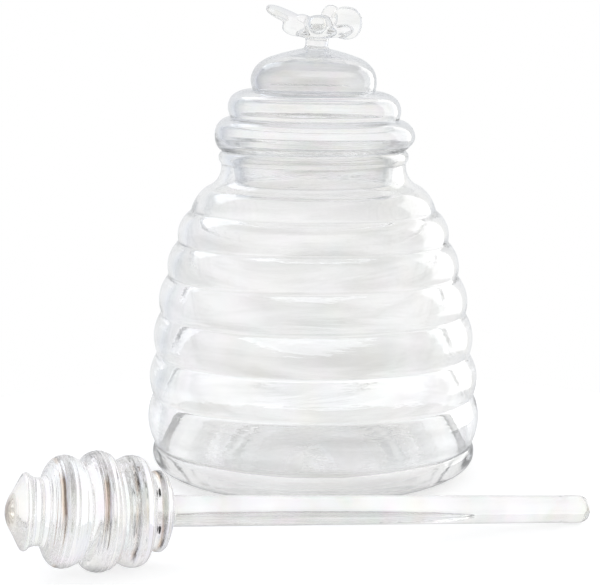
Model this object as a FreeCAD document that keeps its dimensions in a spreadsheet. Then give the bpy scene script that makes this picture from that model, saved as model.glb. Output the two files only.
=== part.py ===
import FreeCAD, Part
import math
import os
import Sketcher

# Beehive honey jar in clear glass: ribbed jar, hollow lid with a bee finial, and a
# solid dipper lying in front of it.  Millimetres, +Z up.  The origin is the centre
# of the jar's foot on the table, +X runs to the right of the jar and -Y to its front.
#
# Every size stands once in the sheet "Sizes".  Derived points are written there too,
# as formulas, and each sketch is pinned to them by expressions.

doc = FreeCAD.newDocument("honey_jar")
sheet = doc.addObject("Spreadsheet::Sheet", "Sizes")
sheet.Label = "Sizes"
next_row = [1]


def size(alias, value, note=""):
    """Put one size, or one formula starting with '=', in the sheet under a name."""
    row = next_row[0]
    next_row[0] += 1
    sheet.set("A%d" % row, alias)
    sheet.set("B%d" % row, str(value))
    sheet.set("C%d" % row, note)
    sheet.setAlias("B%d" % row, alias)
    return alias


# ---------------------------------------------------------------- sizes of the jar
size("neck_radius", 28.7, "outside of the neck; the jar and the lid both follow it")
size("neck_wall", 2.5, "glass of the neck")
size("neck_height", 5.5, "straight part of the neck, lip bead included")
size("lip_bead", 0.85, "how far the lip bead stands out of the neck")
size("lip_height", 3.7, "height of the lip bead")
size("flare_height", 5.7, "turn of the shoulder up to the straight neck")
size("shoulder_flare", 4.7, "how far that turn stands out beyond the neck")
size("shoulder_rise", 7.3, "top groove up to that turn")
size("wall_rib", 2.85, "wall at the crest of a rib")
size("wall_groove", 2.2, "wall at a groove between two ribs")
size("foot_set_in", 11.2, "outer edge of the flat foot ring, in from the lowest rib")
size("foot_ring_width", 6.5, "flat ring the jar stands on")
size("punt_rise", 1.2, "hollow under the middle of the foot")
size("floor_thick", 3.2, "glass between the punt and the inside")

# The ribs, lowest first: how far the crest stands out beyond the rib above it (for
# the top rib, beyond the shoulder), how far it is above the groove below it, how deep
# the groove above it cuts in, and how far that groove is above the crest.
RIBS = [
    (-1.3, 6.8, 0.85, 3.5),
    (0.6, 8.9, 1.7, 6.3),
    (1.4, 5.5, 2.4, 7.3),
    (1.75, 5.1, 2.35, 7.7),
    (2.8, 4.5, 3.15, 7.3),
    (3.25, 3.8, 3.45, 6.7),
    (8.8, 3.0, 4.1, 6.6),
]
for k, (reach, rise, depth, groove_rise) in enumerate(RIBS, start=1):
    size("rib_%d_reach" % k, reach)
    size("rib_%d_rise" % k, rise)
    size("groove_%d_depth" % k, depth)
    size("groove_%d_rise" % k, groove_rise)
size("shoulder_radius", "=neck_radius + shoulder_flare")
for k in range(7, 0, -1):
    above = "rib_%d_radius" % (k + 1) if k < 7 else "shoulder_radius"
    size("rib_%d_radius" % k, "=%s + rib_%d_reach" % (above, k))
for k in range(1, 8):
    below = "groove_%d_height" % (k - 1) if k > 1 else "0"
    size("rib_%d_height" % k, "=%s + rib_%d_rise" % (below, k))
    size("groove_%d_radius" % k, "=rib_%d_radius - groove_%d_depth" % (k, k))
    size("groove_%d_height" % k, "=rib_%d_height + groove_%d_rise" % (k, k))
size("shoulder_height", "=groove_7_height + shoulder_rise")
size("jar_height", "=shoulder_height + flare_height + neck_height")
size("neck_bore", "=neck_radius - neck_wall")
size("foot_ring_outer", "=rib_1_radius - foot_set_in")
size("foot_ring_inner", "=foot_ring_outer - foot_ring_width")

# ---------------------------------------------------------------- sizes of the lid
size("skirt_clearance", 0.9, "play between the lid's skirt and the neck, all round")
size("skirt_depth", 11.2, "how far the skirt reaches into the neck")
size("skirt_taper", 1.0, "how much the skirt draws in towards its end")
size("lid_wall", 1.9, "blown wall of the lid")
size("seat_setback", 0.3, "edge of the flat on the lip, in from the neck's outside")
size("low_ring_reach", 2.3, "how far the low ring stands out beyond the neck")
size("low_ring_rise", 4.9, "seat up to the low ring's widest")
size("low_crease_rise", 5.1, "up to the crease under the middle ring")
size("low_crease_depth", 0.6, "how far that crease cuts in from the middle ring")
size("mid_ring_step", 4.3, "middle ring in from the low ring")
size("mid_ring_rise", 3.6, "crease up to the middle ring's widest")
size("top_crease_rise", 5.2, "up to the crease under the dome")
size("top_crease_depth", 0.5, "how far that crease cuts in from the dome")
size("dome_step", 7.25, "dome in from the middle ring")
size("dome_side_rise", 2.8, "crease up to the dome's widest")
size("crown_rise", 9.7, "dome's widest up to its top")
size("stem_radius", 3.5)
size("stem_length", 3.6)
size("low_ring_radius", "=neck_radius + low_ring_reach")
size("mid_ring_radius", "=low_ring_radius - mid_ring_step")
size("dome_radius", "=mid_ring_radius - dome_step")
size("low_crease_radius", "=mid_ring_radius - low_crease_depth")
size("top_crease_radius", "=dome_radius - top_crease_depth")
# Heights of the lid are measured from the lower edge of its skirt.
size("low_ring_height", "=skirt_depth + low_ring_rise")
size("low_crease_height", "=low_ring_height + low_crease_rise")
size("mid_ring_height", "=low_crease_height + mid_ring_rise")
size("top_crease_height", "=mid_ring_height + top_crease_rise")
size("dome_side_height", "=top_crease_height + dome_side_rise")
size("dome_height", "=dome_side_height + crown_rise")
size("stem_height", "=dome_height + stem_length")

# ---------------------------------------------------------------- sizes of the bee
size("bee_body_length", 8.2, "half length of the abdomen and thorax together")
size("bee_body_radius", 3.6)
size("bee_sink", 0.5, "how deep the body is melted into the stem")
size("bee_head_radius", 2.7)
size("wing_thick", 1.15, "half thickness in the middle of a wing")
size("wing_long", 8.3, "half length of the long left wing")
size("wing_wide", 3.3, "half width of the long left wing")
size("wing_lean", 22.0, "how far the long wing lifts")
size("paddle_long", 5.5, "half height of the round right wing")
size("paddle_wide", 5.1, "half width of the round right wing")
size("hind_long", 4.4, "half length of a hind wing")
size("hind_wide", 2.7, "half width of a hind wing")
size("bee_middle", "=stem_height + bee_body_radius - bee_sink")

# ------------------------------------------------------------- sizes of the dipper
size("dipper_length", 166.6, "nose to the end of the rod")
size("nose_radius", 10.1, "rim of the nose cone")
size("nose_length", 4.6)
size("ring_half_width", 2.95, "half width of a ring's crown")
size("ring_crown", 0.9, "height of that crown")
size("ring_one_radius", 14.6)
size("ring_two_radius", 15.8)
size("ring_three_radius", 14.65)
size("ring_four_radius", 10.75)
size("slot_one_depth", 1.3, "groove behind the nose, in from the nose's rim")
size("slot_two_depth", 2.5, "in from ring one")
size("slot_three_depth", 2.55, "in from ring three")
size("slot_four_depth", 2.05, "in from ring four")
size("slot_one_step", 4.0, "rim of the nose to the groove behind it")
size("ring_one_step", 6.3, "that groove to the middle of ring one, and so on")
size("slot_two_step", 4.7)
size("ring_two_step", 4.4)
size("slot_three_step", 4.4)
size("ring_three_step", 4.3)
size("slot_four_step", 4.9)
size("ring_four_step", 2.4)
size("head_end_step", 3.6, "ring four to where the rod leaves the head")
size("rod_start_radius", 4.15)
size("rod_end_radius", 3.85)
size("collar_crown", 0.15, "faint swelling just before the end of the rod")
size("collar_half_width", 2.5)
size("collar_back", 5.0, "swelling back from the end")
size("heading", 20.0, "how far the rod turns away from the jar's left-right line")
size("rod_gap", 28.25, "clear gap between the jar's widest rib and the rod, in plan")
size("ring_two_along", -89.85, "ring two along the rod, from the point nearest the jar")
# Places along the dipper are measured from the tip of its nose.
size("slot_one_place", "=nose_length + slot_one_step")
size("ring_one_place", "=slot_one_place + ring_one_step")
size("slot_two_place", "=ring_one_place + slot_two_step")
size("ring_two_place", "=slot_two_place + ring_two_step")
size("slot_three_place", "=ring_two_place + slot_three_step")
size("ring_three_place", "=slot_three_place + ring_three_step")
size("slot_four_place", "=ring_three_place + slot_four_step")
size("ring_four_place", "=slot_four_place + ring_four_step")
size("head_end", "=ring_four_place + head_end_step")
size("slot_one_radius", "=nose_radius - slot_one_depth")
size("slot_two_radius", "=ring_one_radius - slot_two_depth")
size("slot_three_radius", "=ring_three_radius - slot_three_depth")
size("slot_four_radius", "=ring_four_radius - slot_four_depth")
size("collar_radius", "=rod_end_radius + collar_crown")
size("collar_place", "=dipper_length - collar_back")

doc.recompute()


# ------------------------------------------------------------------ sketch helpers
def point(name, across, up):
    """A corner of a half section, its two coordinates kept in the sheet."""
    size(name + "_across", "=" + across if across != "0" else "0")
    size(name + "_up", "=" + up if up != "0" else "0")
    return name


def where(name):
    return FreeCAD.Vector(sheet.get(name + "_across"), sheet.get(name + "_up"), 0)


def pin(sketch, geometry, end, name):
    """Hold one point of a sketch at its place in the sheet."""
    spot = where(name)
    if abs(spot.x) < 1e-9:
        sketch.addConstraint(Sketcher.Constraint("PointOnObject", geometry, end, -2))
    else:
        n = sketch.addConstraint(
            Sketcher.Constraint("DistanceX", -1, 1, geometry, end, spot.x))
        sketch.setExpression("Constraints[%d]" % n, "Sizes.%s_across" % name)
    if abs(spot.y) < 1e-9:
        sketch.addConstraint(Sketcher.Constraint("PointOnObject", geometry, end, -1))
    else:
        n = sketch.addConstraint(
            Sketcher.Constraint("DistanceY", -1, 1, geometry, end, spot.y))
        sketch.setExpression("Constraints[%d]" % n, "Sizes.%s_up" % name)


def arc_through(start, middle, end):
    """The circle arc through three points, and whether it runs anticlockwise."""
    a, b = middle - start, end - start
    turn = a.x * b.y - a.y * b.x
    ux = (b.y * a.Length ** 2 - a.y * b.Length ** 2) / (2 * turn)
    uy = (a.x * b.Length ** 2 - b.x * a.Length ** 2) / (2 * turn)
    centre = start + FreeCAD.Vector(ux, uy, 0)
    first, last = (start, end) if turn > 0 else (end, start)
    angles = [math.atan2(p.y - centre.y, p.x - centre.x) for p in (first, last)]
    circle = Part.Circle(centre, FreeCAD.Vector(0, 0, 1), (start - centre).Length)
    return Part.ArcOfCircle(circle, angles[0], angles[1]), turn > 0


def half_section(body, name, outline):
    """Closed half section in the body's upright plane.

    outline is a list of (corner, bulge) pairs.  A side runs from each corner to the
    next, straight when bulge is None, otherwise as an arc through the bulge point.
    """
    sketch = body.newObject("Sketcher::SketchObject", name)
    plane = next(f for f in body.Origin.OriginFeatures if f.Role == "XZ_Plane")
    sketch.AttachmentSupport = (plane, [""])
    sketch.MapMode = "FlatFace"
    ends = []
    for k, (corner, bulge) in enumerate(outline):
        following = outline[(k + 1) % len(outline)][0]
        a, b = where(corner), where(following)
        if bulge is None:
            side = sketch.addGeometry(Part.LineSegment(a, b))
            ends.append((side, 1, 2))
            continue
        arc, forward = arc_through(a, where(bulge), b)
        side = sketch.addGeometry(arc)
        ends.append((side, 1, 2) if forward else (side, 2, 1))
        mark = sketch.addGeometry(Part.Point(where(bulge)), True)
        pin(sketch, mark, 1, bulge)
        sketch.addConstraint(Sketcher.Constraint("PointOnObject", mark, 1, side))
    for k, (corner, _) in enumerate(outline):
        side, start, _ = ends[k]
        before, _, before_end = ends[k - 1]
        sketch.addConstraint(
            Sketcher.Constraint("Coincident", before, before_end, side, start))
        pin(sketch, side, start, corner)
    return sketch


def turned(name, outline):
    """A body turned once round its upright axis from a half section."""
    body = doc.addObject("PartDesign::Body", name)
    sketch = half_section(body, name + "_section", outline)
    turn = body.newObject("PartDesign::Revolution", name + "_turned")
    turn.Profile = sketch
    turn.ReferenceAxis = (sketch, ["V_Axis"])
    turn.Angle = 360.0
    return body


# ------------------------------------------------------------------------- the jar
point("punt_top", "0", "punt_rise")
point("punt_edge", "foot_ring_inner * 0.62", "punt_rise")
point("punt_mid", "foot_ring_inner * 0.83", "punt_rise * 0.72")
point("foot_in", "foot_ring_inner", "0")
point("foot_out", "foot_ring_outer", "0")
point("heel_mid", "rib_1_radius - 4.1", "rib_1_height * 0.265")
point("heel_top", "rib_1_radius - 1.4", "rib_1_height * 0.53")
for k in range(1, 8):
    point("crest_%d" % k, "rib_%d_radius" % k, "rib_%d_height" % k)
    point("groove_%d" % k, "groove_%d_radius" % k, "groove_%d_height" % k)
    point("inner_crest_%d" % k, "rib_%d_radius - wall_rib" % k, "rib_%d_height - 0.2" % k)
    point("inner_groove_%d" % k, "groove_%d_radius - wall_groove" % k,
          "groove_%d_height - 0.2" % k)
point("shoulder_mid", "(shoulder_radius + groove_7_radius) / 2 + 1.25",
      "(shoulder_height + groove_7_height) / 2 - 0.45")
point("shoulder_turn", "shoulder_radius", "shoulder_height")
point("flare_mid", "neck_radius + shoulder_flare * 0.34", "shoulder_height + flare_height * 0.37")
point("neck_low", "neck_radius", "shoulder_height + flare_height")
point("lip_low", "neck_radius", "jar_height - lip_height")
point("lip_mid", "neck_radius + lip_bead", "jar_height - lip_height / 2")
point("lip_top", "neck_radius", "jar_height")
point("mouth_top", "neck_bore + 0.7", "jar_height")
point("mouth_round", "neck_bore + 0.2", "jar_height - 0.25")
point("mouth_low", "neck_bore", "jar_height - 0.9")
point("bore_low", "neck_bore", "shoulder_height + flare_height - 0.4")
point("bore_flare", "neck_radius - neck_wall * 0.16", "shoulder_height + 0.5")
point("inner_turn", "shoulder_radius - 1.5", "shoulder_height - 2.2")
point("inner_shoulder", "(shoulder_radius + groove_7_radius - wall_groove) / 2 - 0.05",
      "(shoulder_height + groove_7_height) / 2 - 1.65")
point("inner_heel", "rib_1_radius - wall_rib - 1.6", "punt_rise + floor_thick + 1.9")
point("floor_edge", "foot_ring_outer + 1.5", "punt_rise + floor_thick")
point("floor_mid", "0", "punt_rise + floor_thick")
doc.recompute()

jar_outline = [
    ("punt_top", None),
    ("punt_edge", "punt_mid"),
    ("foot_in", None),
    ("foot_out", "heel_mid"),
    ("heel_top", "crest_1"),
]
for k in range(1, 7):
    jar_outline.append(("groove_%d" % k, "crest_%d" % (k + 1)))
jar_outline += [
    ("groove_7", "shoulder_mid"),
    ("shoulder_turn", "flare_mid"),
    ("neck_low", None),
    ("lip_low", "lip_mid"),
    ("lip_top", None),
    ("mouth_top", "mouth_round"),
    ("mouth_low", None),
    ("bore_low", "bore_flare"),
    ("inner_turn", "inner_shoulder"),
]
for k in range(7, 1, -1):
    jar_outline.append(("inner_groove_%d" % k, "inner_crest_%d" % k))
jar_outline += [
    ("inner_groove_1", "inner_heel"),
    ("floor_edge", None),
    ("floor_mid", None),
]
jar = turned("jar", jar_outline)
jar.Label = "jar"

# ------------------------------------------------------------------------- the lid
point("skirt_in", "neck_bore - skirt_clearance - skirt_taper - lid_wall", "0")
point("skirt_out", "neck_bore - skirt_clearance - skirt_taper", "0")
point("skirt_root", "neck_bore - skirt_clearance", "skirt_depth")
point("seat_edge", "neck_radius - seat_setback", "skirt_depth")
point("low_ring", "low_ring_radius", "low_ring_height")
point("low_crease", "low_crease_radius", "low_crease_height")
point("mid_ring", "mid_ring_radius", "mid_ring_height")
point("mid_turn", "mid_ring_radius - 1.3", "mid_ring_height + 3.0")
point("mid_top", "(mid_ring_radius - 1.3 + top_crease_radius) / 2 + 0.625",
      "(mid_ring_height + 3.0 + top_crease_height) / 2 + 0.45")
point("top_crease", "top_crease_radius", "top_crease_height")
point("dome_side", "dome_radius", "dome_side_height")
point("dome_turn", "dome_radius - 1.15", "dome_height - 5.9")
point("dome_haunch", "dome_radius - 3.5", "dome_height - 3.7")
point("dome_slope", "dome_radius - 6.5", "dome_height - 2.3")
point("dome_top", "dome_radius * 0.42", "dome_height - 0.9")
point("stem_foot", "stem_radius + 0.7", "dome_height")
point("stem_waist", "stem_radius + 0.15", "dome_height + 0.4")
point("stem_low", "stem_radius", "dome_height + 1.1")
point("stem_high", "stem_radius", "stem_height")
point("stem_end", "0", "stem_height")
point("crown_in", "0", "dome_height - lid_wall - 0.3")
point("crown_flat", "stem_radius", "dome_height - lid_wall - 0.3")
point("crown_mid", "dome_radius * 0.42", "dome_height - lid_wall - 0.95")
point("slope_in", "dome_radius - 7.0", "dome_height - lid_wall - 2.5")
point("haunch_in", "dome_radius - 4.7", "dome_height - lid_wall - 3.5")
point("turn_in", "dome_radius - lid_wall - 1.0", "dome_height - lid_wall - 4.8")
point("side_in", "dome_radius - lid_wall", "dome_side_height")
point("top_crease_in", "top_crease_radius - lid_wall", "top_crease_height - 1.3")
point("mid_turn_in", "mid_ring_radius - lid_wall - 1.2", "mid_ring_height + 1.8")
point("mid_top_in", "(mid_turn_in_across + top_crease_in_across) / 2 + 1.275",
      "(mid_turn_in_up + top_crease_in_up) / 2 - 0.25")
point("mid_ring_in", "mid_ring_radius - lid_wall", "mid_ring_height - 0.2")
point("low_crease_in", "low_crease_radius - lid_wall", "low_crease_height - 0.6")
point("low_ring_in", "low_ring_radius - lid_wall", "low_ring_height")
point("seat_in", "neck_bore - skirt_clearance - 0.6", "skirt_depth + lid_wall + 0.3")
point("throat_in", "neck_bore - skirt_clearance - lid_wall", "skirt_depth - 0.2")
doc.recompute()

lid_shell = turned("lid_shell", [
    ("skirt_in", None),
    ("skirt_out", None),
    ("skirt_root", None),
    ("seat_edge", "low_ring"),
    ("low_crease", "mid_ring"),
    ("mid_turn", "mid_top"),
    ("top_crease", "dome_side"),
    ("dome_turn", "dome_haunch"),
    ("dome_slope", "dome_top"),
    ("stem_foot", "stem_waist"),
    ("stem_low", None),
    ("stem_high", None),
    ("stem_end", None),
    ("crown_in", None),
    ("crown_flat", "crown_mid"),
    ("slope_in", "haunch_in"),
    ("turn_in", "side_in"),
    ("top_crease_in", "mid_top_in"),
    ("mid_turn_in", "mid_ring_in"),
    ("low_crease_in", "low_ring_in"),
    ("seat_in", None),
    ("throat_in", None),
])


# The bee is worked from flattened drops of glass melted onto each other.  A drop has
# a middle (x, y and height above the body's middle, as formulas), three half sizes and
# a turn about +Y (lean, left-right) after a turn about +X (tip, front-back).
def drop(name, x, y, up, halves, lean, tip):
    blob = doc.addObject("Part::Ellipsoid", name)
    blob.Angle1 = -90.0
    blob.Angle2 = 90.0
    blob.Angle3 = 360.0
    for prop, formula in zip(("Radius2", "Radius3", "Radius1"), halves):
        blob.setExpression(prop, formula)
    turn_y = FreeCAD.Rotation(FreeCAD.Vector(0, 1, 0), lean)
    turn_x = FreeCAD.Rotation(FreeCAD.Vector(1, 0, 0), tip)
    blob.Placement = FreeCAD.Placement(FreeCAD.Vector(0, y, 0), turn_y * turn_x)
    blob.setExpression("Placement.Base.x", x)
    blob.setExpression("Placement.Base.z", "Sizes.bee_middle + %g" % up)
    return blob


s = "Sizes."
drops = [
    drop("bee_body", "0.6", 1.6, 0.0,
         (s + "bee_body_radius", s + "bee_body_length", s + "bee_body_radius"), 0, -8),
    drop("bee_head", "0.3", -6.2, 1.2,
         (s + "bee_head_radius", s + "bee_head_radius", s + "bee_head_radius"), 0, 0),
    drop("wing_left", "-1.2 - Sizes.wing_long * cos(Sizes.wing_lean * 1deg)", 0.6, 3.1,
         (s + "wing_long", s + "wing_wide", s + "wing_thick"), sheet.get("wing_lean"), 24),
    drop("wing_right", "0.1 + Sizes.bee_body_radius + Sizes.paddle_wide", -0.6, 1.5,
         (s + "paddle_wide", s + "wing_thick", s + "paddle_long"), 8, 10),
    drop("wing_right_back", "4.4", 2.6, 3.2,
         (s + "hind_wide", s + "wing_thick", s + "hind_long * 0.85"), 14, -8),
    drop("hind_left", "-1.8 - Sizes.hind_long", -0.8, -0.4,
         (s + "hind_long", s + "hind_wide", s + "wing_thick * 1.7"), -6, 30),
    drop("hind_right", "1.8 + Sizes.hind_long", 0.8, -1.1,
         (s + "hind_long", s + "hind_wide", s + "wing_thick * 1.3"), -10, 20),
]
lid = lid_shell
for blob in drops:
    joined = doc.addObject("Part::Fuse", blob.Name + "_joined")
    joined.Base = lid
    joined.Tool = blob
    lid = joined
lid.Label = "lid"
lid.Placement.Base = FreeCAD.Vector(0, 0, 0)
lid.setExpression("Placement.Base.z", "Sizes.jar_height - Sizes.skirt_depth")

# ---------------------------------------------------------------------- the dipper
# Heights of the dipper's section are places along its rod.
point("nose_tip", "0", "0")
point("nose_flat", "nose_radius * 0.10", "0")
point("nose_round", "nose_radius * 0.33", "nose_length * 0.13")
point("nose_slope", "nose_radius * 0.52", "nose_length * 0.36")
point("nose_rim", "nose_radius - 0.3", "nose_length - 0.5")
point("nose_edge", "nose_radius", "nose_length + 0.15")
point("nose_back", "nose_radius - 0.5", "nose_length + 0.9")
for name in ("one", "two", "three", "four"):
    point("slot_" + name, "slot_%s_radius" % name, "slot_%s_place" % name)
for name in ("one", "two", "three"):
    r, p = "ring_%s_radius" % name, "ring_%s_place" % name
    point("ring_%s_front" % name, r + " - ring_crown", p + " - ring_half_width")
    point("ring_%s_top" % name, r, p)
    point("ring_%s_back" % name, r + " - ring_crown", p + " + ring_half_width")


def blend(name, start, end, out, along):
    """Bulge point of the hollow side between two corners, off the middle of them."""
    point(name, "(%s_across + %s_across) / 2 + %g" % (start, end, out),
          "(%s_up + %s_up) / 2 + %g" % (start, end, along))


point("slot_one_foot", "slot_one_radius + 0.5", "slot_one_place + 1.2")
blend("ring_one_rise", "slot_one_foot", "ring_one_front", 0.5, -0.275)
blend("ring_one_fall", "ring_one_back", "slot_two", 0.35, 0.125)
blend("ring_two_rise", "slot_two", "ring_two_front", 0.45, -0.175)
blend("ring_two_fall", "ring_two_back", "slot_three", 0.45, 0.125)
blend("ring_three_rise", "slot_three", "ring_three_front", 0.3, -0.225)
blend("ring_three_fall", "ring_three_back", "slot_four", 0.55, 0.225)
point("ring_four_top", "ring_four_radius", "ring_four_place")
point("ring_four_back", "ring_four_radius - 1.5", "ring_four_place + 1.9")
point("rod_start", "rod_start_radius", "head_end")
blend("head_shoulder", "ring_four_back", "rod_start", 0.15, 0.15)
point("collar_start", "rod_end_radius", "collar_place - collar_half_width")
point("collar_top", "collar_radius", "collar_place")
point("collar_end", "rod_end_radius", "collar_place + collar_half_width")
point("rod_round", "rod_end_radius * 0.80", "dipper_length - 0.75")
point("rod_flat", "rod_end_radius * 0.40", "dipper_length")
point("rod_tip", "0", "dipper_length")
doc.recompute()

dipper = turned("dipper", [
    ("nose_tip", None),
    ("nose_flat", "nose_round"),
    ("nose_slope", None),
    ("nose_rim", "nose_edge"),
    ("nose_back", "slot_one"),
    ("slot_one_foot", "ring_one_rise"),
    ("ring_one_front", "ring_one_top"),
    ("ring_one_back", "ring_one_fall"),
    ("slot_two", "ring_two_rise"),
    ("ring_two_front", "ring_two_top"),
    ("ring_two_back", "ring_two_fall"),
    ("slot_three", "ring_three_rise"),
    ("ring_three_front", "ring_three_top"),
    ("ring_three_back", "ring_three_fall"),
    ("slot_four", "ring_four_top"),
    ("ring_four_back", "head_shoulder"),
    ("rod_start", None),
    ("collar_start", "collar_top"),
    ("collar_end", "rod_round"),
    ("rod_flat", None),
    ("rod_tip", None),
])
dipper.Label = "dipper"

# The dipper lies on the swelling of its rod and on whichever ring reaches the table
# first.  Each touches with a round crown, so the slope for one ring is the tilt at
# which the two crowns, seen from the side as circles, have one level line under them.
size("crown_round", "=(ring_half_width ^ 2 + ring_crown ^ 2) / (2 * ring_crown)")
size("collar_round", "=(collar_half_width ^ 2 + collar_crown ^ 2) / (2 * collar_crown)")
for name in ("one", "two", "three"):
    size("span_" + name, "=collar_place - ring_%s_place" % name)
    size("drop_" + name,
         "=ring_%s_radius - crown_round - collar_radius + collar_round" % name)
    size("tilt_" + name,
         "=(atan(drop_{0} / span_{0}) + asin((crown_round - collar_round)"
         " / sqrt(span_{0} ^ 2 + drop_{0} ^ 2))) / 1deg".format(name))
size("slope", "=max(tilt_one; tilt_two; tilt_three)")
size("rod_distance", "=rib_2_radius + rod_gap + rod_start_radius")
size("nose_along", "=ring_two_along - ring_two_place * cos(slope * 1deg)")
size("nose_x", "=rod_distance * sin(heading * 1deg) + nose_along * cos(heading * 1deg)")
size("nose_y", "=nose_along * sin(heading * 1deg) - rod_distance * cos(heading * 1deg)")
size("nose_z", "=collar_place * sin(slope * 1deg)"
     " + (collar_radius - collar_round) * cos(slope * 1deg) + collar_round")
doc.recompute()
dipper.setExpression(
    "Placement",
    "placement(vector(Sizes.nose_x; Sizes.nose_y; Sizes.nose_z);"
    " rotation(Sizes.heading; 90 + Sizes.slope; 0))")
doc.recompute()

# ------------------------------------------------------------------ check and write
for thing in doc.Objects:
    if "Invalid" in thing.State or "Error" in thing.State:
        raise RuntimeError("%s did not compute: %s" % (thing.Name, thing.State))
os.makedirs("parts", exist_ok=True)
for node, thing in (("jar", jar), ("lid", lid), ("dipper", dipper)):
    shape = thing.Shape
    if shape.isNull() or not shape.isValid() or len(shape.Solids) != 1:
        raise RuntimeError("%s is not one sound solid" % node)
    shape.exportStep("parts/%s.step" % node)
    box = shape.BoundBox
    print("%s: %.1f cm3, x %.2f..%.2f y %.2f..%.2f z %.2f..%.2f" % (
        node, shape.Volume / 1000.0, box.XMin, box.XMax, box.YMin, box.YMax,
        box.ZMin, box.ZMax))
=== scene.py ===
import math

import bpy
import numpy as np
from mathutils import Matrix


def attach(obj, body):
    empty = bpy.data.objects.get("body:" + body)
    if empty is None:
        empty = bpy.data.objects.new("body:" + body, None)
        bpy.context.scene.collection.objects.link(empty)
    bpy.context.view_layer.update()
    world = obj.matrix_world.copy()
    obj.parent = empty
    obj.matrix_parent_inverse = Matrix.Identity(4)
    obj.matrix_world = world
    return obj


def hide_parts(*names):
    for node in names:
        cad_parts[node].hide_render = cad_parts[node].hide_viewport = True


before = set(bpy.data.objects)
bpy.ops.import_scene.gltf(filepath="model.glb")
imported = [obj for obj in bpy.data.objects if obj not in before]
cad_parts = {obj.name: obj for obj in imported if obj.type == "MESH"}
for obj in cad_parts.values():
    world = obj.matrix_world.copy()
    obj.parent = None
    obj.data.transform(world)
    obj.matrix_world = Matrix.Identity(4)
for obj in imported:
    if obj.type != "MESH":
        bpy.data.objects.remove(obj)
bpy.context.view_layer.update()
MM = 0.001

# --------------------------------------------------------------------------
# Profiles: half sections in millimetres, radius first and height second
# --------------------------------------------------------------------------

# Points on each arc and each straight run.
RUN_POINTS = 40


def arc(start, bulge, end):
    """Points of the circle arc that leaves start, passes bulge and reaches end.

    The centre is where the upright bisectors of the two chords meet; the sweep
    is the turn from start to end that has bulge on it.
    """
    a, b, c = (np.asarray(p, float) for p in (start, bulge, end))
    u, v = b - a, c - a
    turn = 2 * (u[0] * v[1] - u[1] * v[0])
    if abs(turn) < 1e-6:
        return a + (c - a) * np.linspace(0, 1, RUN_POINTS)[:, None]
    centre = a + np.array([v[1] * u @ u - u[1] * v @ v,
                           u[0] * v @ v - v[0] * u @ u]) / turn
    angle = [math.atan2(*(p - centre)[::-1]) for p in (a, b, c)]
    sweep = (angle[2] - angle[0]) % math.tau
    if (angle[1] - angle[0]) % math.tau > sweep:
        sweep -= math.tau
    t = angle[0] + sweep * np.linspace(0, 1, RUN_POINTS)
    return centre + np.linalg.norm(a - centre) * np.stack([np.cos(t), np.sin(t)], 1)


def chain(corners):
    """One line through the corners: each is (point, bulge), straight where bulge is None."""
    runs = []
    for (a, bulge), (b, _) in zip(corners, corners[1:]):
        run = arc(a, bulge, b) if bulge else np.linspace(a, b, RUN_POINTS)
        runs.append(run[:-1])
    runs.append(np.asarray([corners[-1][0]], float))
    return np.concatenate(runs)


def along(line):
    """How far along the line each of its points is."""
    return np.concatenate([[0], np.cumsum(np.linalg.norm(np.diff(line, axis=0), axis=1))])


def resample(line, places):
    """Points of the line at these places along it."""
    s = along(line)
    return np.stack([np.interp(places, s, line[:, k]) for k in (0, 1)], 1)


def melt(line, reach, step=0.1):
    """Rounds a profile's corners: a Gaussian mean along its length.

    Both ends lie on the axis, so the line is carried past them by its own mirror
    image and stays square to the axis there.
    """
    length = along(line)[-1]
    even = resample(line, np.linspace(0, length, int(length / step)))
    pad = int(5 * reach / step)
    mirror = np.array([-1.0, 1.0])
    wide = np.concatenate([even[1:pad + 1][::-1] * mirror, even, even[-pad - 1:-1][::-1] * mirror])
    k = np.exp(-0.5 * (np.arange(-pad, pad + 1) * step / reach) ** 2)
    k /= k.sum()
    soft = np.stack([np.convolve(wide[:, c], k, "valid") for c in (0, 1)], 1)
    soft[0, 0] = soft[-1, 0] = 0.0
    return soft


def outwards(line):
    """Unit normals on the right-hand side of a line's direction of travel."""
    d = np.gradient(line, along(line), axis=0)
    d /= np.linalg.norm(d, axis=1)[:, None] + 1e-12
    return np.stack([d[:, 1], -d[:, 0]], 1)


def ridged(line, depth, pitch, mask):
    """Fine turned ridges: the line sinks by depth (1 - cos w) / 2.

    w grows by a turn each pitch, with a slow wander, and the depth comes and goes more
    slowly still. mask(point radius, point height) fades the ridges in and out.
    """
    s = along(line)
    w = math.tau * s / pitch + 1.9 * np.sin(s / pitch * 1.17)
    strength = depth * 0.5 * (1 - np.cos(w)) * (0.55 + 0.45 * np.sin(s / (2.3 * pitch) + 1.0))
    return line - outwards(line) * (strength * mask(line[:, 0], line[:, 1]))[:, None]


def inside_of(line, wall):
    """The line one wall further in.

    Points that come nearer than the wall to any other part of the line are left out.
    """
    moved = line - outwards(line) * wall
    gap = np.sqrt(((moved[:, None] - line[None]) ** 2).sum(-1)).min(1)
    return moved[(gap > wall * 0.995) & (moved[:, 0] > 0)]


def thin_out(line, count, bend_share=0.6):
    """Keeps count points: closer together where the line bends, wider where it runs flat."""
    s = along(line)
    d = np.gradient(line, s, axis=0)
    dd = np.gradient(d, s, axis=0)
    bend = np.sqrt(np.abs(d[:, 0] * dd[:, 1] - d[:, 1] * dd[:, 0]))
    window = 15
    bend = np.convolve(bend, np.ones(window) / window, "same")
    bent = np.concatenate([[0], np.cumsum(0.5 * (bend[1:] + bend[:-1]) * np.diff(s))])
    total = bend_share * bent / bent[-1] + (1 - bend_share) * s / s[-1]
    return resample(line, np.interp(np.linspace(0, 1, count), total, s))


# --------------------------------------------------------------------------
# Meshes
# --------------------------------------------------------------------------


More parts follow.
